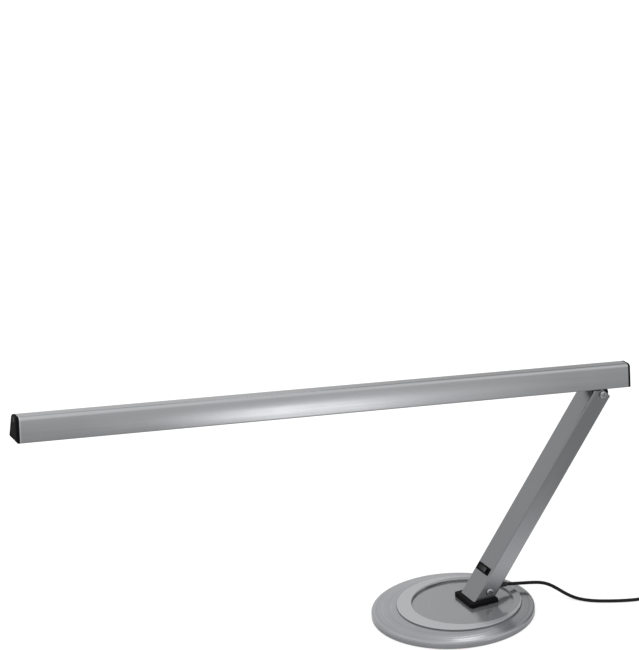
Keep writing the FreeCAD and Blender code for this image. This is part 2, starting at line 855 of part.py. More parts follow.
def coil_path():
    stops = [coil_point(k / stops_per_turn) for k in range(coil_turns * stops_per_turn + 1)]
    ways = [ring_way(k / stops_per_turn) for k in range(len(stops))]
    edges = [Part.makeLine(stops[0] - coil_way * cord_dia, stops[0])]
    for k in range(len(stops) - 1):
        edges += biarc(stops[k], ways[k], stops[k + 1], ways[k + 1])
    edges += biarc(stops[-1], ways[-1], plug_start, plug_way)
    edges.append(Part.makeLine(plug_start, plug_start + plug_way * cord_dia))
    return edges


def least_gap(edges):
    # Least distance between stretches of the cord that are more than half a turn apart.
    samples = []
    travelled = 0
    for edge in edges:
        points = edge.discretize(max(2, int(edge.Length / cord_radius)) + 1)
        step = edge.Length / (len(points) - 1)
        samples += [(travelled + step * k, point) for k, point in enumerate(points[:-1])]
        travelled += edge.Length
    apart = pi * (coil_outer - turns_per_pass * coil_pitch)
    gaps = []
    for k, (run, point) in enumerate(samples):
        gaps += [(other - point).Length for other_run, other in samples[k + 1:] if other_run - run > apart]
    return min(gaps) - cord_dia


def cord_coil():
    edges = coil_path()
    tube, length = sweep(edges, edges[0].Vertexes[0].Point, coil_way)
    print("coil length", round(length, 1), "volume ratio", tube.Volume / (pi * cord_radius ** 2 * length))
    print("coil least gap to itself", round(least_gap(edges), 2))
    return tube


def cord_tie():
    # Flat strap round the bundle of turns.
    inner = coil_outer - turns_per_pass * coil_pitch - cord_radius - tie_play
    outer = coil_outer + cord_radius + tie_play
    bottom = coil_lift - near
    top = coil_floor + (coil_passes - 1) * coil_pitch + cord_radius + near
    half = tie_width / 2
    low = vec(inner, -half, bottom)
    high = vec(outer, half, top)
    around = vec(tie_thick, 0, tie_thick)
    strap = box(low - around, high + around)
    strap = strap.makeFillet(2 * tie_thick, [e for e in strap.Edges if e.BoundBox.YLength > half])
    strap = strap.cut(box(low, high))
    spoke = coil_side * -cos(2 * pi * tie_turn) + coil_way * sin(2 * pi * tie_turn)
    strap.rotate(vec(), along_z, degrees(atan2(spoke.y, spoke.x)))
    strap.translate(coil_centre)
    return strap


def to_plug(shape):
    # From the plug's own frame, cord end at the origin and pins along +X, to its place beside the coil.
    placed = shape.copy()
    placed.rotate(vec(), along_z, degrees(atan2(plug_way.y, plug_way.x)))
    placed.translate(plug_start + plug_way * cord_dia)
    return placed


def plug_body():
    # Flat two-pin plug: waisted outline, rounded edges and a tapered tail for the cord.
    start = plug_tail_length
    end = start + plug_length
    back = vec(start, plug_tail_dia / 2, 0)
    waist = vec(start + plug_waist_along, plug_waist_width / 2, 0)
    shoulder = vec(start + plug_shoulder, plug_width / 2, 0)
    nose = vec(end, plug_nose_width / 2, 0)
    right = [Part.Arc(back, waist, shoulder).toShape(), Part.makeLine(shoulder, nose)]
    left = [edge.mirror(vec(), along_y) for edge in right]
    middle = [Part.makeLine(nose, opposite(nose)), Part.makeLine(back, opposite(back))]
    outline = Part.Wire(Part.__sortEdges__(right + left + middle))
    body = Part.Face(outline).extrude(vec(0, 0, plug_thick))
    body.translate(vec(0, 0, -plug_thick / 2))
    level = [e for e in body.Edges if e.BoundBox.ZLength < tiny]
    body = body.makeFillet(plug_round, [e for e in level if e.BoundBox.XMin > shoulder.x - plug_round])
    tail = Part.makeCone(grip_tip_dia / 2, plug_tail_dia / 2, plug_tail_length, vec(), along_x)
    body = body.fuse(tail).removeSplitter()
    for place in plug_pin_places():
        root = place - along_x * plug_round
        body = body.cut(Part.makeCylinder(plug_pin_dia / 2 + fit, plug_round, root, along_x))
    return to_plug(body)


def plug_pin_places():
    end = plug_tail_length + plug_length
    return [vec(end, side * plug_pin_spacing / 2, 0) for side in (-1, 1)]


def plug_pins():
    pins = []
    for place in plug_pin_places():
        root = place - along_x * plug_round
        pin = Part.makeCylinder(plug_pin_dia / 2, plug_pin_length + plug_round, root, along_x)
        tip = [e for e in pin.Edges if e.BoundBox.XMin > place.x]
        pins.append(to_plug(pin.makeFillet(plug_pin_tip, tip)))
    return Part.makeCompound(pins)


def cord_grip():
    # Strain relief: flange and barrel in the rear face, then a tapered, grooved snout along the cord.
    exit_point = cord_exit()
    way = unit(cord_route[1] - cord_route[0])
    root = exit_point + way * (grip_flange_thick / way.dot(arm_rear))
    length = (cord_route[0] - root).Length
    snout = Part.makeCone(grip_root_dia / 2, grip_tip_dia / 2, length, root, way)
    step = length / (grip_groove_count + 2)
    for k in range(grip_groove_count):
        along = step * (k + 1) + (step - grip_groove_width) / 2
        taper = grip_root_dia + (grip_tip_dia - grip_root_dia) * along / length
        place = root + way * along
        ring = Part.makeCylinder(taper, grip_groove_width, place, way)
        ring = ring.cut(Part.makeCylinder(taper / 2 - grip_groove_depth, grip_groove_width, place, way))
        snout = snout.cut(ring)
    flange = Part.makeCylinder(grip_flange_dia / 2, grip_flange_thick, exit_point, arm_rear)
    ball = Part.makeSphere(grip_root_dia / 2, root)
    outside = flange.fuse([ball, snout]).cut(to_arm(arm_bar(0, 0, arm_length)))
    depth = arm_wall + grip_inside
    barrel = Part.makeCylinder(grip_barrel_dia / 2, depth, exit_point - arm_rear * depth, arm_rear)
    return outside.fuse(barrel).removeSplitter()


save(base_cover(), "base_cover")
save(base_dish(), "base_dish")
save(base_weight(), "base_weight")
save(base_pad(), "base_pad")
save(foot_block(), "foot_block")
save(foot_bolts(), "foot_bolts")
save(arm_tube(), "arm_tube")
save(cross_screw(foot_screw_dia, foot_screw_up), "foot_screw")
save(cross_nut(foot_screw_dia, foot_screw_up), "foot_nut")
save(cross_screw(hinge_bolt_dia, arm_length), "pivot_bolt")
save(cross_nut(hinge_bolt_dia, arm_length), "pivot_nut")
save(friction_washers(), "friction_washers")
save(ballast(), "ballast")
save(switch_housing(), "switch_housing")
save(switch_terminals(), "switch_terminals")
save(switch_rocker(), "switch_rocker")
save(cord_grip(), "cord_grip")
save(power_cord(), "power_cord")
save(cord_coil(), "cord_coil")
save(cord_tie(), "cord_tie")
save(plug_body(), "plug_body")
save(plug_pins(), "plug_pins")
save(head_profile(), "head_profile")
save(to_head(end_cap()), "front_end_cap")
save(to_head(at_tail(end_cap())), "rear_end_cap")
save(Part.makeCompound([to_head(end_cap_screw()), to_head(at_tail(end_cap_screw()))]), "end_cap_screws")
save(hinge_lug(), "hinge_lug")
save(hinge_clamp(), "hinge_clamp")
save(hinge_screws(), "hinge_screws")
save(reflector(), "reflector")
save(lamp_holder(holder_front), "lamp_holder_front")
save(lamp_holder(holder_rear - holder_length), "lamp_holder_rear")
save(tube_glass(), "tube_glass")
save(tube_end_caps(), "tube_end_caps")
save(tube_pins(), "tube_pins")
save(diffuser(), "diffuser")
print("hinge bolt at", pivot, "tube length", tube_rear - tube_front)
rocker_axis = arm_base + arm_up * switch_up + arm_rear * (rocker_pin_deep - arm_depth / 2)
print("rocker axis through", rocker_axis, "along", arm_up)
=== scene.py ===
import math
import bmesh
import bpy
from mathutils import Matrix, Vector


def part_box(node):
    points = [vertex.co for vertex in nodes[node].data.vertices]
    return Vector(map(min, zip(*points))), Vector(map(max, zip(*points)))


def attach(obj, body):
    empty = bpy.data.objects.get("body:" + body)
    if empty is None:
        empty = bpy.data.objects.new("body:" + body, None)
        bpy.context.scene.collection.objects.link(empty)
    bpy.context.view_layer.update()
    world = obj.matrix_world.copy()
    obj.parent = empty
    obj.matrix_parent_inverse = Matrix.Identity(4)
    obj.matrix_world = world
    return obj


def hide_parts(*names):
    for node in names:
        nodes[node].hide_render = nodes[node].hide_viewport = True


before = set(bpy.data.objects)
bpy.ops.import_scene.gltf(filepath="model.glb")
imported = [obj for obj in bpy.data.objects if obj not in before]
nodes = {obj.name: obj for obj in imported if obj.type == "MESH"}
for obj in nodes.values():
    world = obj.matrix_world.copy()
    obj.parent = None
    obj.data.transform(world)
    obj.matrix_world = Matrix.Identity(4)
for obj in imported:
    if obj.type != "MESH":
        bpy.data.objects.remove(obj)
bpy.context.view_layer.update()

# Manicure table lamp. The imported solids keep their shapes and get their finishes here.
# The cord with its coil, the ribs of the plug and the teeth and head of the cord tie are made here.

mm = 0.001
print("frame loaded with", len(nodes), "solids")

# Camera

camera = {
    "place": (-0.970279, -1.948750, 1.048491),
    "back": (-0.375759, -0.871190, 0.315964),          # from the lamp towards the camera
    "up": (0.185177, 0.263488, 0.946723),
    "focalPixels": 2300,
    "framePixels": 650,                                # long side of the photograph
    "sensor": 36.0,
    "clip": (0.05, 60),
}


def addCamera():
    data = bpy.data.cameras.new("camera")
    data.sensor_width = camera["sensor"]
    data.lens = camera["focalPixels"] * camera["sensor"] / camera["framePixels"]
    data.clip_start, data.clip_end = camera["clip"]
    back, up = Vector(camera["back"]).normalized(), Vector(camera["up"])
    right = up.cross(back).normalized()
    turn = Matrix((right, back.cross(right), back)).transposed().to_4x4()
    eye = bpy.data.objects.new("camera", data)
    eye.matrix_world = Matrix.Translation(camera["place"]) @ turn
    bpy.context.scene.collection.objects.link(eye)
    bpy.context.scene.camera = eye


addCamera()
print("camera set")

# Small helpers for colours, nodes and objects


def linear(hexCode):
    channels = [int(hexCode[k:k + 2], 16) / 255 for k in (1, 3, 5)]
    return [c / 12.92 if c <= 0.04045 else ((c + 0.055) / 1.055) ** 2.4 for c in channels] + [1.0]


def addNode(tree, kind, inputs=None, **settings):
    # Sockets go by name, or by number where names repeat: a Mix node has its values at 2 and 3
    # and its colours at 6 and 7.
    node = tree.nodes.new(kind)
    for name, value in settings.items():
        setattr(node, name, value)
    for name, value in (inputs or {}).items():
        if isinstance(value, bpy.types.NodeSocket):
            tree.links.new(value, node.inputs[name])
        else:
            node.inputs[name].default_value = value
    return node


def addObject(name, data, body, material):
    piece = bpy.data.objects.new(name, data)
    bpy.context.scene.collection.objects.link(piece)
    data.materials.clear()
    data.materials.append(material)
    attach(piece, body)
    return piece


# Finishes. Grain, depth and cloud are sizes in millimetres. Grain is one size, or one along each of the
# pattern's own axes, and lean turns those axes about Y so that drawn lines follow the head or the arm.
# The real turning rings, drawn lines and mould grain are about 0.1 mm wide, too fine to show here.
# They are drawn coarser, 0.8 to 3 mm wide, so that they do.

pattern = {
    "patchShare": 0.35,                                # cloudy patches against the grain
    "patchDetail": 2.0,
    "glossSpan": (0.3, 0.7),                           # part of the noise that moves the roughness
}


def axisReach(tree, place, middle):
    # Distance from an upright axis that stands at this X
    flat = addNode(tree, "ShaderNodeMapping",
                   {"Vector": place, "Location": (-middle * mm, 0, 0), "Scale": (1, 1, 0)})
    return addNode(tree, "ShaderNodeVectorMath", {0: flat.outputs[0]}, operation="LENGTH").outputs["Value"]


def makeFinish(name, tones, metallic, rough, grain, depth, lean=0.0, detail=3.0, cloud=40.0, turned=None,
               gleam=0.5):
    material = bpy.data.materials.new(name)
    material.use_nodes = True
    tree = material.node_tree
    shader = tree.nodes["Principled BSDF"]
    place = addNode(tree, "ShaderNodeTexCoord").outputs["Object"]
    if turned is not None:                             # rings about a lathe axis that stands at this X
        fine = addNode(tree, "ShaderNodeTexNoise",
                       {"W": axisReach(tree, place, turned), "Scale": 1 / (grain * mm), "Detail": detail},
                       noise_dimensions="1D")
    else:
        sizes = grain if isinstance(grain, tuple) else (grain, grain, grain)
        drawn = addNode(tree, "ShaderNodeMapping",
                        {"Vector": place, "Rotation": (0, math.radians(lean), 0),
                         "Scale": [size * mm for size in sizes]}, vector_type="TEXTURE")
        fine = addNode(tree, "ShaderNodeTexNoise",
                       {"Vector": drawn.outputs[0], "Scale": 1.0, "Detail": detail})
    patches = addNode(tree, "ShaderNodeTexNoise",
                      {"Vector": place, "Scale": 1 / (cloud * mm), "Detail": pattern["patchDetail"]})
    both = addNode(tree, "ShaderNodeMix",
                   {0: pattern["patchShare"], 2: fine.outputs["Fac"], 3: patches.outputs["Fac"]})
    tone = addNode(tree, "ShaderNodeMix",
                   {0: both.outputs[0], 6: linear(tones[0]), 7: linear(tones[1])}, data_type="RGBA")
    gloss = addNode(tree, "ShaderNodeMapRange",
                    {"Value": both.outputs[0], "From Min": pattern["glossSpan"][0],
                     "From Max": pattern["glossSpan"][1], "To Min": rough[0], "To Max": rough[1]})
    relief = addNode(tree, "ShaderNodeBump",
                     {"Height": fine.outputs["Fac"], "Strength": 1.0, "Distance": depth * mm})
    tree.links.new(tone.outputs[2], shader.inputs["Base Color"])
    tree.links.new(gloss.outputs[0], shader.inputs["Roughness"])
    tree.links.new(relief.outputs[0], shader.inputs["Normal"])
    shader.inputs["Metallic"].default_value = metallic
    shader.inputs["Specular IOR Level"].default_value = gleam
    return material


def addBand(material, tone, rough, axis, start, end, soft, lean=0.0, outside=None):
    # A band of another tone and polish between two distances along one axis of the leaning frame.
    # Where outside gives the X of an upright axis and a radius, the band lies beyond that circle only.
    tree = material.node_tree
    shader = tree.nodes["Principled BSDF"]
    place = addNode(tree, "ShaderNodeTexCoord").outputs["Object"]
    turned = addNode(tree, "ShaderNodeMapping",
                     {"Vector": place, "Rotation": (0, math.radians(lean), 0), "Scale": (mm, mm, mm)},
                     vector_type="TEXTURE")
    along = addNode(tree, "ShaderNodeSeparateXYZ", {0: turned.outputs[0]}).outputs[axis]
    rise = addNode(tree, "ShaderNodeMapRange",
                   {"Value": along, "From Min": start - soft, "From Max": start})
    fall = addNode(tree, "ShaderNodeMapRange",
                   {"Value": along, "From Min": end + soft, "From Max": end})
    band = addNode(tree, "ShaderNodeMath", {0: rise.outputs[0], 1: fall.outputs[0]}, operation="MULTIPLY")
    if outside:
        middle, radius = outside
        beyond = addNode(tree, "ShaderNodeMapRange",
                         {"Value": axisReach(tree, place, middle), "From Min": (radius - soft) * mm,
                          "From Max": (radius + soft) * mm})
        band = addNode(tree, "ShaderNodeMath", {0: band.outputs[0], 1: beyond.outputs[0]},
                       operation="MULTIPLY")
    colour, gloss = (shader.inputs[name].links[0].from_socket for name in ("Base Color", "Roughness"))
    mixed = addNode(tree, "ShaderNodeMix", {0: band.outputs[0], 6: colour, 7: linear(tone)},
                    data_type="RGBA")
    polish = addNode(tree, "ShaderNodeMix", {0: band.outputs[0], 2: gloss, 3: rough})
    tree.links.new(mixed.outputs[2], shader.inputs["Base Color"])
    tree.links.new(polish.outputs[0], shader.inputs["Roughness"])


def crown(material, lean, middle, radius):
    # The flat sides are drawn slightly crowned about a line, so that light rolls over them.
    tree = material.node_tree
    shader = tree.nodes["Principled BSDF"]
    place = addNode(tree, "ShaderNodeTexCoord").outputs["Object"]
    turned = addNode(tree, "ShaderNodeMapping",
                     {"Vector": place, "Rotation": (0, math.radians(lean), 0)}, vector_type="TEXTURE")
    up = addNode(tree, "ShaderNodeSeparateXYZ", {0: turned.outputs[0]}).outputs["Z"]
    off = addNode(tree, "ShaderNodeMath", {0: up, 1: middle * mm}, operation="SUBTRACT")
    square = addNode(tree, "ShaderNodeMath", {0: off.outputs[0], 1: off.outputs[0]}, operation="MULTIPLY")
    height = addNode(tree, "ShaderNodeMath", {0: square.outputs[0], 1: -0.5 / (radius * mm)},
                     operation="MULTIPLY")
    fine = shader.inputs["Normal"].links[0].from_socket
    relief = addNode(tree, "ShaderNodeBump",
                     {"Height": height.outputs[0], "Strength": 1.0, "Distance": 1.0, "Normal": fine})
    tree.links.new(relief.outputs[0], shader.inputs["Normal"])


headLean, armLean = 7.0, 36.9                          # degrees
baseAxis, recessAxis = 0.0, 11.2                       # X of the two lathe axes

# Spun steel under silver paint: turning rings, a soft sheen
silverPaint = makeFinish("silverPaint", tones=("#77787b", "#a4a5a8"), metallic=0.8, rough=(0.15, 0.22),
                         grain=3.0, depth=0.07, turned=baseAxis)
# Aluminium sheet polished on the lathe under a hazy lacquer: it mirrors softly, and a crescent of the ledge
# is brushed and paler; it fades out on the right, so its paler tone also paints the ledge's lighter left side
polishedSheet = makeFinish("polishedSheet", tones=("#848587", "#919294"), metallic=0.66, rough=(0.13, 0.19),
                           grain=2.6, depth=0.004, turned=recessAxis)
# Partly painted light: the paler crescent ends on the right, leaving the ledge lighter on its left side only
addBand(polishedSheet, tone="#a7a8aa", rough=0.28, axis="Z", start=10.4, end=20.0, soft=0.4,
        outside=(15.2, 56.9))
# Satin anodised extrusion: drawn lines along the head, a painted highlight at the front end, painted shade
# and a duller polish at the lower edge
anodisedHead = makeFinish("anodisedHead", tones=("#919294", "#9b9c9e"), metallic=1.0, rough=(0.15, 0.22),
                          grain=(160, 1.2, 1.2), depth=0.004, lean=headLean)
crown(anodisedHead, lean=headLean, middle=244.0, radius=136.0)
# Painted highlight: a paler band along the front end of the profile, beside the cap
addBand(anodisedHead, tone="#abacae", rough=0.28, axis="X", start=-476.0, end=-474.4, soft=0.3,
        lean=headLean)
# Painted shade: a darker, duller band along the lower edge of the sides
addBand(anodisedHead, tone="#7c7d7f", rough=0.4, axis="Z", start=234.0, end=235.2, soft=0.3, lean=headLean)
# The same alloy on the arm: lines along the tube, a little duller
anodisedArm = makeFinish("anodisedArm", tones=("#77787a", "#828385"), metallic=1.0, rough=(0.26, 0.34),
                         grain=(1.2, 1.2, 120), depth=0.004, lean=armLean)
# Moulded ABS with a spark-eroded grain: deep black, hardly any shine
blackAbs = makeFinish("blackAbs", tones=("#0c0c0d", "#161618"), metallic=0.0, rough=(0.46, 0.6),
                      grain=0.8, depth=0.03, gleam=0.025)
# Polished ABS of the rocker: dark and glossy
glossAbs = makeFinish("glossAbs", tones=("#0d0d0e", "#161618"), metallic=0.0, rough=(0.16, 0.26),
                      grain=3, depth=0.004, gleam=0.12)
# Bright zinc plate on turned steel: cool, slightly cloudy, with small sharp glints
zincSteel = makeFinish("zincSteel", tones=("#86888a", "#a2a4a6"), metallic=1.0, rough=(0.12, 0.2),
                       grain=1.5, depth=0.004, cloud=6)
# Black-passivated zinc on the cap screws: almost as dark as the caps
blackZinc = makeFinish("blackZinc", tones=("#2c2d2f", "#3a3b3d"), metallic=1.0, rough=(0.3, 0.42),
                       grain=1.5, depth=0.004, cloud=6)
# Natural polyamide: milky and waxy
nylon = makeFinish("nylon", tones=("#d8d5cb", "#e4e1d8"), metallic=0.0, rough=(0.42, 0.52),
                   grain=1.2, depth=0.01)
# Sand-cast iron: dark and coarse
castIron = makeFinish("castIron", tones=("#3a3a3b", "#4b4b4c"), metallic=0.8, rough=(0.6, 0.75),
                      grain=1.4, depth=0.15)
# Foamed rubber of the base pad and the cord grip: matt with a fine skin
blackRubber = makeFinish("blackRubber", tones=("#171717", "#232323"), metallic=0.0, rough=(0.62, 0.78),
                         grain=0.9, depth=0.03)
# Soft PVC sheath of the cord: even black with a low sheen
cordSheath = makeFinish("cordSheath", tones=("#0d0d0e", "#161617"), metallic=0.0, rough=(0.42, 0.54),
                        grain=1.4, depth=0.02, gleam=0.12)
# Nickel on brass contacts: bright and a little cloudy
nickelBrass = makeFinish("nickelBrass", tones=("#b5b1a8", "#cbc7bd"), metallic=1.0, rough=(0.18, 0.3),
                         grain=1, depth=0.004, cloud=5)
# Baked white enamel on the steel reflector: glossy with a light orange peel
whiteEnamel = makeFinish("whiteEnamel", tones=("#e6e6e4", "#f0f0ee"), metallic=0.0, rough=(0.16, 0.24),
                         grain=2.5, depth=0.01)
# Glass-filled polyester of the lamp holders and gear case: plain white, slightly rough
whiteMoulding = makeFinish("whiteMoulding", tones=("#dededa", "#e8e8e4"), metallic=0.0, rough=(0.45, 0.58),
                           grain=0.9, depth=0.02)
# Opal acrylic strip: milky, with fine flutes along it
opalAcrylic = makeFinish("opalAcrylic", tones=("#e2e2e0", "#ececea"), metallic=0.0, rough=(0.3, 0.4),
                         grain=(400, 1.6, 1.6), depth=0.05, lean=headLean, detail=1.0)
# Tube glass over its white powder coat: dense white under a clear skin
coatedGlass = makeFinish("coatedGlass", tones=("#eeeeeb", "#f5f5f2"), metallic=0.0, rough=(0.5, 0.6),
                         grain=3, depth=0.004)
# Pressed aluminium caps of the tube: pale and satin
tubeCapMetal = makeFinish("tubeCapMetal", tones=("#b9babc", "#cccdce"), metallic=1.0, rough=(0.24, 0.34),
                          grain=2, depth=0.004)

finishOf = {
    "base_cover": silverPaint, "base_dish": polishedSheet, "base_weight": castIron, "base_pad": blackRubber,
    "foot_block": blackAbs, "foot_bolts": zincSteel, "arm_tube": anodisedArm, "foot_screw": zincSteel,
    "foot_nut": zincSteel, "pivot_bolt": zincSteel, "pivot_nut": zincSteel, "friction_washers": nylon,
    "ballast": whiteMoulding, "switch_housing": blackAbs, "switch_terminals": nickelBrass,
    "cord_grip": blackRubber, "cord_tie": blackAbs, "plug_body": blackAbs, "plug_pins": nickelBrass,
    "head_profile": anodisedHead, "front_end_cap": blackAbs, "rear_end_cap": blackAbs,
    "end_cap_screws": blackZinc, "hinge_lug": blackAbs, "hinge_clamp": zincSteel, "hinge_screws": zincSteel,
    "reflector": whiteEnamel, "lamp_holder_front": whiteMoulding, "lamp_holder_rear": whiteMoulding,
    "tube_glass": coatedGlass, "tube_end_caps": tubeCapMetal, "tube_pins": nickelBrass,
    "diffuser": opalAcrylic, "switch_rocker": glossAbs,
}
for nodeName, material in finishOf.items():
    nodes[nodeName].data.materials.clear()
    nodes[nodeName].data.materials.append(material)
print("finishes given to", len(finishOf), "solids")

# Cord: the same route as the solid one, then its coil in four layers, then the way to the plug

cord = {                                               # millimetres
    "diameter": 3.6,
    "length": 1.84,                                    # metres, with the coil
    "route": [
        (63.6, 0.0, 17.1), (80.0, 0.0, 13.9), (91.6, -2.9, 13.0), (101.0, -7.6, 12.6), (107.2, -13.4, 11.2),
        (112.1, -20.6, 8.4), (116.8, -29.8, 5.0), (122.3, -39.8, 2.5), (129.4, -49.2, 1.8),
        (138.7, -57.9, 1.8), (154.2, -67.4, 1.8), (166.7, -73.5, 1.8), (179.4, -78.0, 1.8),
        (204.0, -81.9, 3.1), (226.0, -82.2, 3.1),
    ],
    "coilMiddle": 42.0,                                # across the middle of the turns
    "pitch": 4.1,
    "passes": 4,
    "turnsPerPass": 3,
    "climb": 0.5,                                      # turns that it takes from one layer to the next
    "lift": 1.3,                                       # room for the tie under the coil
    "pointsPerTurn": 16,
    "plugAside": 7.5,
    "plugThick": 13.6,
    "tailPoints": 4,
    "tailTurn": 0.25,                                  # of a turn, from the coil to the plug
    "roundSteps": 4,
    "lengthSteps": 6,
}


def coilPlace(turn):
    perPass, pitch = cord["turnsPerPass"], cord["pitch"]
    into = turn % (2 * perPass)
    inwards = min(into, 2 * perPass - into)
    radius = cord["coilMiddle"] / 2 + perPass * pitch / 2 - inwards * pitch
    layer = sum(min(max((turn - k * perPass) / cord["climb"] + 0.5, 0), 1) for k in range(1, cord["passes"]))
    return radius, cord["lift"] + cord["diameter"] / 2 + layer * pitch


route = [Vector(p) for p in cord["route"]]
coilWay = ((route[-1] - route[-2]) * Vector((1, 1, 0))).normalized()
coilSide = Vector((-coilWay.y, coilWay.x, 0))          # also the way that the plug points
coilOuter = coilPlace(0)[0]
coilCentre = Vector((route[-1].x, route[-1].y, 0)) + coilWay * cord["diameter"] + coilSide * coilOuter


def spoke(turn):
    angle = 2 * math.pi * turn
    return coilWay * math.sin(angle) - coilSide * math.cos(angle)


def cordPoints():
    turns = cord["passes"] * cord["turnsPerPass"]
    stretch = 1 / math.cos(math.pi / cord["pointsPerTurn"])      # the spline runs inside its points
    points = list(route)
    for k in range(1, turns * cord["pointsPerTurn"] + 1):
        turn = k / cord["pointsPerTurn"]
        radius, height = coilPlace(turn)
        points.append(coilCentre + spoke(turn) * radius * stretch + Vector((0, 0, height)))
    lastRadius, lastHeight = coilPlace(turns)
    plugRadius = coilOuter + cord["diameter"] / 2 + cord["plugAside"]
    for k in range(1, cord["tailPoints"] + 1):         # out and down to the plug that lies beside the coil
        share = k / cord["tailPoints"]
        ease = share * share * (3 - 2 * share)
        radius = lastRadius + (plugRadius - lastRadius) * ease
        height = lastHeight + (cord["plugThick"] / 2 - lastHeight) * ease
        points.append(coilCentre + spoke(turns + share * cord["tailTurn"]) * radius + Vector((0, 0, height)))
    points.append(points[-1] + coilSide * cord["diameter"])
    return points


points = cordPoints()
curve = bpy.data.curves.new("powerCord", "CURVE")
curve.dimensions = "3D"
curve.bevel_depth = cord["diameter"] / 2 * mm
curve.bevel_resolution = cord["roundSteps"]
curve.resolution_u = cord["lengthSteps"]
spline = curve.splines.new("NURBS")
spline.points.add(len(points) - 1)
for control, point in zip(spline.points, points):
    control.co = [*(point * mm), 1.0]
spline.order_u = 3
spline.use_endpoint_u = True
powerCord = addObject("powerCord", curve, "stand", cordSheath)
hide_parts("power_cord", "cord_coil")
print("cord laid with", len(points), "points")

# Ribs in a row: the tree sets rounded bars across a path, as far apart as their number gives

bar = {"segments": 10, "rings": 6}                     # few faces, because there are many bars


def ribTree():
    tree = bpy.data.node_groups.new("ribRow", "GeometryNodeTree")
    for label, kind in (("Path", "Geometry"), ("Across", "Vector"), ("Count", "Int"), ("Length", "Float"),
                        ("Width", "Float"), ("Height", "Float"), ("Finish", "Material")):
        tree.interface.new_socket(label, in_out="INPUT", socket_type="NodeSocket" + kind)
    tree.interface.new_socket("Ribs", in_out="OUTPUT", socket_type="NodeSocketGeometry")
    given = addNode(tree, "NodeGroupInput").outputs
    path = addNode(tree, "GeometryNodeMeshToCurve", {"Mesh": given["Path"]})
    stops = addNode(tree, "GeometryNodeCurveToPoints", {"Curve": path.outputs[0], "Count": given["Count"]},
                    mode="COUNT")
    one = addNode(tree, "GeometryNodeMeshUVSphere",
                  {"Segments": bar["segments"], "Rings": bar["rings"], "Radius": 0.5})
    size = addNode(tree, "ShaderNodeCombineXYZ",
                   {0: given["Length"], 1: given["Height"], 2: given["Width"]})
    turn = addNode(tree, "FunctionNodeAxesToRotation",
                   {"Primary Axis": stops.outputs["Tangent"], "Secondary Axis": given["Across"]},
                   primary_axis="Z", secondary_axis="X")
    row = addNode(tree, "GeometryNodeInstanceOnPoints",
                  {"Points": stops.outputs["Points"], "Instance": one.outputs["Mesh"],
                   "Rotation": turn.outputs[0], "Scale": size.outputs[0]})
    real = addNode(tree, "GeometryNodeRealizeInstances", {0: row.outputs[0]})
    finished = addNode(tree, "GeometryNodeSetMaterial",
                       {"Geometry": real.outputs[0], "Material": given["Finish"]})
    addNode(tree, "NodeGroupOutput", {"Ribs": finished.outputs[0]})
    return tree


ribRow = ribTree()


def addRibs(name, path, across, settings, material):
    mesh = bpy.data.meshes.new(name + "Path")
    mesh.from_pydata([tuple(p * mm) for p in path], [(k, k + 1) for k in range(len(path) - 1)], [])
    holder = bpy.data.objects.new(name + "Path", mesh)
    bpy.context.scene.collection.objects.link(holder)
    made = holder.modifiers.new("ribs", "NODES")
    made.node_group = ribRow
    values = {"Across": list(across), "Count": settings["count"], "Length": settings["length"] * mm,
              "Width": settings["width"] * mm, "Height": settings["height"] * mm, "Finish": material}
    for item in ribRow.interface.items_tree:
        if item.in_out == "INPUT" and item.name in values:
            made[item.identifier] = values[item.name]
    depsgraph = bpy.context.evaluated_depsgraph_get()
    ribs = bpy.data.meshes.new_from_object(holder.evaluated_get(depsgraph))
    holder.modifiers.remove(made)
    bpy.data.objects.remove(holder)
    ribs.shade_smooth()
    return addObject(name, ribs, "stand", material)


tie = {
    "turn": 0.4,                                       # where it goes round the coil
    "play": 0.8, "thick": 0.8,
    "low": 4.0, "top": 18.3, "corner": 1.6,            # heights between which the teeth run, and their bend
    "count": 44, "length": 4.4, "width": 0.6, "height": 0.5,
}
tieOut = spoke(tie["turn"])
tieAcross = tieOut.cross(Vector((0, 0, 1)))
tieInner = coilPlace(cord["turnsPerPass"])[0] - cord["diameter"] / 2 - tie["play"] - tie["thick"]
tieOuter = coilOuter + cord["diameter"] / 2 + tie["play"] + tie["thick"]


def tiePoint(reach, height):
    return coilCentre + tieOut * reach + Vector((0, 0, height))


tiePath = [tiePoint(tieOuter, tie["low"]), tiePoint(tieOuter, tie["top"] - tie["corner"]),
           tiePoint(tieOuter - tie["corner"], tie["top"]), tiePoint(tieInner + tie["corner"], tie["top"]),
           tiePoint(tieInner, tie["top"] - tie["corner"]), tiePoint(tieInner, tie["low"])]
tieTeeth = addRibs("tieTeeth", tiePath, tieAcross, tie, blackAbs)

tieBlock = {
    "size": (5.4, 7.6, 4.4),
    "round": 0.6, "roundSteps": 2,
    "rim": 0.8, "pocket": 1.5, "taper": 0.1,           # wall around the pocket, its depth, how far it narrows
    "stub": (1.0, 4.6, 4.2), "stubDrop": 0.9,          # trimmed end, its middle under the top
    "sink": 0.3,
}


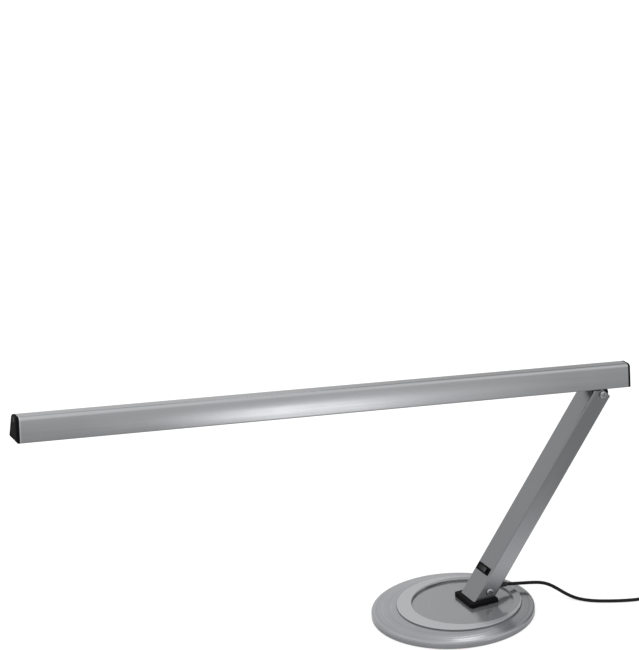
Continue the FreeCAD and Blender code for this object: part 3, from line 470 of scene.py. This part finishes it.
def addTieHead():
    # The block that locks the tie, with a pocket in its top and the trimmed end of the strap in it
    height = tieBlock["size"][2]
    shape = bmesh.new()
    bmesh.ops.create_cube(shape, size=1.0)
    bmesh.ops.scale(shape, verts=shape.verts, vec=tieBlock["size"])
    bmesh.ops.bevel(shape, geom=shape.edges[:], offset=tieBlock["round"], segments=tieBlock["roundSteps"],
                    profile=0.5, affect="EDGES")
    mouth = max(shape.faces, key=lambda face: face.calc_center_median().z)
    for inset, drop in ((tieBlock["rim"], 0.0), (tieBlock["taper"], tieBlock["pocket"])):
        bmesh.ops.inset_region(shape, faces=[mouth], thickness=inset)
        bmesh.ops.translate(shape, verts=mouth.verts, vec=(0, 0, -drop))
    stub = bmesh.ops.create_cube(shape, size=1.0)["verts"]
    bmesh.ops.scale(shape, verts=stub, vec=tieBlock["stub"])
    bmesh.ops.translate(shape, verts=stub, vec=(0, 0, height / 2 - tieBlock["stubDrop"]))
    bmesh.ops.recalc_face_normals(shape, faces=shape.faces)
    shape.verts.index_update()                         # its faces get the same order each run
    shape.faces.sort(key=lambda face: face.verts[0].index * len(shape.verts) + face.verts[1].index)
    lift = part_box("cord_tie")[1][2] / mm + height / 2 - tieBlock["sink"]
    spot = tiePoint((tieInner + tieOuter) / 2, lift)
    axes = Matrix((tieOut, -tieAcross, (0, 0, 1))).transposed().to_4x4()
    shape.transform(Matrix.Scale(mm, 4) @ Matrix.Translation(spot) @ axes)
    mesh = bpy.data.meshes.new("tieHead")
    shape.to_mesh(mesh)
    shape.free()
    return addObject("tieHead", mesh, "stand", blackAbs)


tieLock = addTieHead()

plug = {
    "from": 29.0, "to": 43.0,                          # first and last rib, from the end of the cord
    "count": 8, "length": 13.0, "width": 1.1, "height": 1.0,
}
plugTop = points[-1] + Vector((0, 0, cord["plugThick"] / 2))
plugPath = [plugTop + coilSide * reach for reach in (plug["from"], plug["to"])]
plugRibs = addRibs("plugRibs", plugPath, coilWay, plug, blackAbs)
print("ribs set on tie and plug")

# Floor: white paper to the eye. Metal sees it at three levels, by the distance in metres from the base: a
# painted shadow at the edge, a painted pool of light beyond it, painted shade further out.

ground = {
    "size": 60.0,
    "tone": "#959595",
    "glow": 0.74,
    "edge": 0.4, "edgeReach": (0.085, 0.14),           # painted shadow at the edge of the base, and where it ends
    "near": 1.4, "far": 0.33,                          # painted pool of light a hand's breadth away, and painted shade further out
    "farReach": (0.13, 0.38),
}


def addFloor():
    half = ground["size"] / 2
    mesh = bpy.data.meshes.new("floor")
    mesh.from_pydata([(-half, -half, 0), (half, -half, 0), (half, half, 0), (-half, half, 0)], [],
                     [(0, 1, 2, 3)])
    paper = bpy.data.materials.new("studioPaper")
    paper.use_nodes = True
    tree = paper.node_tree
    tree.nodes.clear()
    ray = addNode(tree, "ShaderNodeLightPath").outputs
    place = addNode(tree, "ShaderNodeTexCoord").outputs["Object"]
    reach = addNode(tree, "ShaderNodeVectorMath", {0: place}, operation="LENGTH").outputs["Value"]
    # The levels that metal sees paint the base's shadow on the floor and a pool of light around it
    away = addNode(tree, "ShaderNodeMapRange",
                   {"Value": reach, "From Min": ground["farReach"][0], "From Max": ground["farReach"][1],
                    "To Min": ground["near"], "To Max": ground["far"]})
    close = addNode(tree, "ShaderNodeMapRange",
                    {"Value": reach, "From Min": ground["edgeReach"][0], "From Max": ground["edgeReach"][1]})
    paintedShadeAndLight = addNode(tree, "ShaderNodeMix", {0: close.outputs[0], 2: ground["edge"], 3: away.outputs[0]})
    seen = addNode(tree, "ShaderNodeMath", {0: ray["Is Camera Ray"], 1: ray["Is Transmission Ray"]},
                   operation="MAXIMUM")
    plain = addNode(tree, "ShaderNodeMath", {0: seen.outputs[0], 1: ground["glow"]}, operation="MULTIPLY")
    level = addNode(tree, "ShaderNodeMix",
                    {0: ray["Is Glossy Ray"], 2: plain.outputs[0], 3: paintedShadeAndLight.outputs[0]})
    glow = addNode(tree, "ShaderNodeEmission", {"Strength": level.outputs[0]})
    matt = addNode(tree, "ShaderNodeBsdfDiffuse", {"Color": linear(ground["tone"])})
    both = addNode(tree, "ShaderNodeAddShader", {0: glow.outputs[0], 1: matt.outputs[0]})
    addNode(tree, "ShaderNodeOutputMaterial", {"Surface": both.outputs[0]})
    mesh.materials.append(paper)
    floor = bpy.data.objects.new("floor", mesh)
    bpy.context.scene.collection.objects.link(floor)


# Sky: levels by direction, whose X, Y and Z run from -1 to 1. The eye sees it plain white.

sky = {
    "turnY": (-0.4, 0.4),                              # from behind the camera to behind the lamp
    "front": 0.64,                                     # low behind the camera
    "side": 1.07, "sideX": (0.28, 0.4),                # the same further to the right
    "end": 0.66, "endX": (0.48, 0.54),                 # and furthest to the right
    "frontZ": (0.05, 0.7),                             # from there up to the top
    "rim": 0.88,                                       # along the horizon behind the lamp
    "back": 1.05, "backZ": (0.05, 0.28),               # over that horizon
    "corner": 0.45, "cornerAt": (0.68, 0.85),          # furthest to the right there
    "flag": 0.62, "flagAt": (0.49, 0.59),              # share left behind a dark card at the back right
    "flagZ": (0.12, 0.2),                              # its lower edge
    "slant": 0.28,                                     # how the card and the corner lean
    "top": 1.5, "topZ": (0.6, 0.85),                   # overhead
}


def addSky():
    world = bpy.data.worlds.new("studio")
    bpy.context.scene.world = world
    world.use_nodes = True
    tree = world.node_tree
    background = tree.nodes["Background"]
    way = addNode(tree, "ShaderNodeTexCoord").outputs["Generated"]
    split = addNode(tree, "ShaderNodeSeparateXYZ", {0: way}).outputs
    across = addNode(tree, "ShaderNodeMapRange",
                     {"Value": split["X"], "From Min": sky["sideX"][0], "From Max": sky["sideX"][1],
                      "To Min": sky["front"], "To Max": sky["side"]})
    ending = addNode(tree, "ShaderNodeMapRange",
                     {"Value": split["X"], "From Min": sky["endX"][0], "From Max": sky["endX"][1],
                      "To Min": sky["side"], "To Max": sky["end"]})
    behind = addNode(tree, "ShaderNodeMath", {0: across.outputs[0], 1: ending.outputs[0]},
                     operation="MINIMUM")
    front = addNode(tree, "ShaderNodeMapRange",
                    {"Value": split["Z"], "From Min": sky["frontZ"][0], "From Max": sky["frontZ"][1],
                     "To Min": behind.outputs[0], "To Max": sky["top"]})
    rim = addNode(tree, "ShaderNodeMapRange",
                  {"Value": split["Z"], "From Min": sky["backZ"][0], "From Max": sky["backZ"][1],
                   "To Min": sky["rim"], "To Max": sky["back"]})
    slant = addNode(tree, "ShaderNodeMath", {0: split["Z"], 1: sky["slant"], 2: split["X"]},
                    operation="MULTIPLY_ADD")
    card = addNode(tree, "ShaderNodeMapRange",
                   {"Value": slant.outputs[0], "From Min": sky["flagAt"][0], "From Max": sky["flagAt"][1],
                    "To Min": 1, "To Max": sky["flag"]})
    over = addNode(tree, "ShaderNodeMapRange",
                   {"Value": split["Z"], "From Min": sky["flagZ"][0], "From Max": sky["flagZ"][1]})
    flag = addNode(tree, "ShaderNodeMix", {0: over.outputs[0], 2: 1.0, 3: card.outputs[0]})
    corner = addNode(tree, "ShaderNodeMapRange",
                     {"Value": slant.outputs[0], "From Min": sky["cornerAt"][0],
                      "From Max": sky["cornerAt"][1], "To Min": rim.outputs[0], "To Max": sky["corner"]})
    low = addNode(tree, "ShaderNodeMath", {0: corner.outputs[0], 1: flag.outputs[0]}, operation="MULTIPLY")
    high = addNode(tree, "ShaderNodeMapRange",
                   {"Value": split["Z"], "From Min": sky["topZ"][0], "From Max": sky["topZ"][1]})
    back = addNode(tree, "ShaderNodeMix", {0: high.outputs[0], 2: low.outputs[0], 3: sky["top"]})
    side = addNode(tree, "ShaderNodeMapRange",
                   {"Value": split["Y"], "From Min": sky["turnY"][0], "From Max": sky["turnY"][1]},
                   interpolation_type="SMOOTHSTEP")
    level = addNode(tree, "ShaderNodeMix", {0: side.outputs[0], 2: front.outputs[0], 3: back.outputs[0]})
    ray = addNode(tree, "ShaderNodeLightPath").outputs
    seen = addNode(tree, "ShaderNodeMath", {0: ray["Is Camera Ray"], 1: ray["Is Transmission Ray"]},
                   operation="MAXIMUM")
    shown = addNode(tree, "ShaderNodeMix", {0: seen.outputs[0], 2: level.outputs[0], 3: 1.0})
    tree.links.new(shown.outputs[0], background.inputs["Strength"])
    background.inputs["Color"].default_value = (1, 1, 1, 1)


# Lamps: two low soft boxes that the side of the head mirrors, and one behind for the rim of the base

lamps = {
    "softBox": {"place": (0.705, -2.0, 0.24), "target": (-0.15, 0, 0.27), "size": (0.31, 0.34), "power": 0.9},
    "fillBox": {"place": (1.02, -2.0, 0.2), "target": (0.1, 0, 0.25), "size": (0.3, 0.4), "power": 0.15},
    "backBox": {"place": (0.89, 1.55, 1.67), "target": (0, 0, 0), "size": (0.2, 0.09), "power": 0.54},
}


def addLamp(name, settings):
    data = bpy.data.lights.new(name, "AREA")
    data.shape = "RECTANGLE"
    data.size, data.size_y = settings["size"]
    data.energy = settings["power"]
    lamp = bpy.data.objects.new(name, data)
    lamp.location = settings["place"]
    away = Vector(settings["place"]) - Vector(settings["target"])
    lamp.rotation_euler = away.to_track_quat("Z", "Y").to_euler()
    bpy.context.scene.collection.objects.link(lamp)


addFloor()
addSky()
for lampName, settings in lamps.items():
    addLamp(lampName, settings)
bpy.context.scene.view_settings.view_transform = "Standard"
print("floor and light set")
